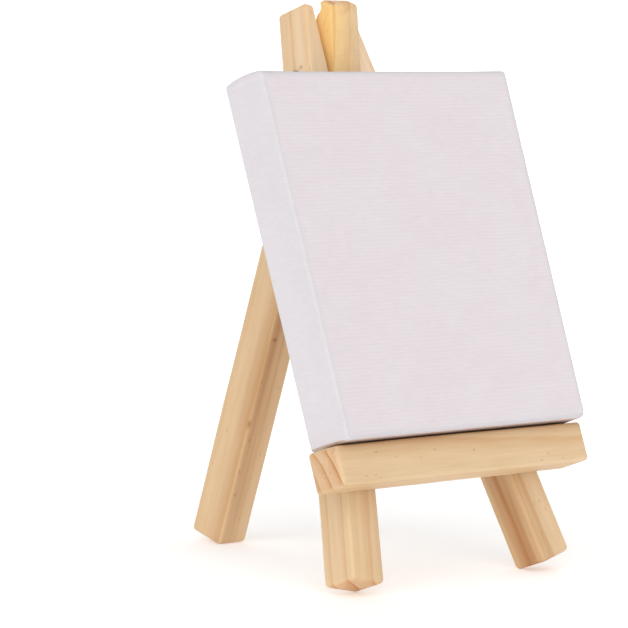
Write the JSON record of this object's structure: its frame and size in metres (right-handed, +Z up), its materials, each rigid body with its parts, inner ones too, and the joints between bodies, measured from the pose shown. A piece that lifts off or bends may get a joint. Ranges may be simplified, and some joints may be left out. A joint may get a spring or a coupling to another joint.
{
  "type": "tabletop display easel",
  "caption": "Small pine tripod easel with a spread front frame, a ledge shelf and a folding rear leg, holding a small blank stretched canvas.",
  "frame": {"origin": "centre of the bounding box at floor level", "axes": "+X to the right seen from the front, +Y to the back, +Z up"},
  "size_m": [0.0768, 0.08, 0.1219],
  "materials": {
    "pine": "bare sanded",
    "stretcher_wood": "bare planed",
    "primed_cloth": "matt primed cotton",
    "steel": "plain bright wire"
  },
  "bodies": {
    "front_frame": {"left_front_leg": "pine", "right_front_leg": "pine", "shelf": "pine", "shelf_brads": "steel", "pivot_pin": "steel"},
    "rear_strut": {"rear_leg": "pine"},
    "canvas": {"canvas_cloth": "primed_cloth", "stretcher_top": "stretcher_wood", "stretcher_bottom": "stretcher_wood", "stretcher_left": "stretcher_wood", "stretcher_right": "stretcher_wood", "hem_staples": "steel", "corner_staples": "steel"}
  },
  "joints": [
    {"name": "rear_fold", "type": "hinge", "parent": "front_frame", "child": "rear_strut", "pos_m": [0.0004, 0.00463, 0.10497], "axis": [-1, 0, 0], "range_deg": [-8, 36.5]},
    {"name": "canvas_lift", "type": "slide", "parent": "front_frame", "child": "canvas", "axis": [0, 0, 1], "range_m": [0, 0.13]}
  ]
}
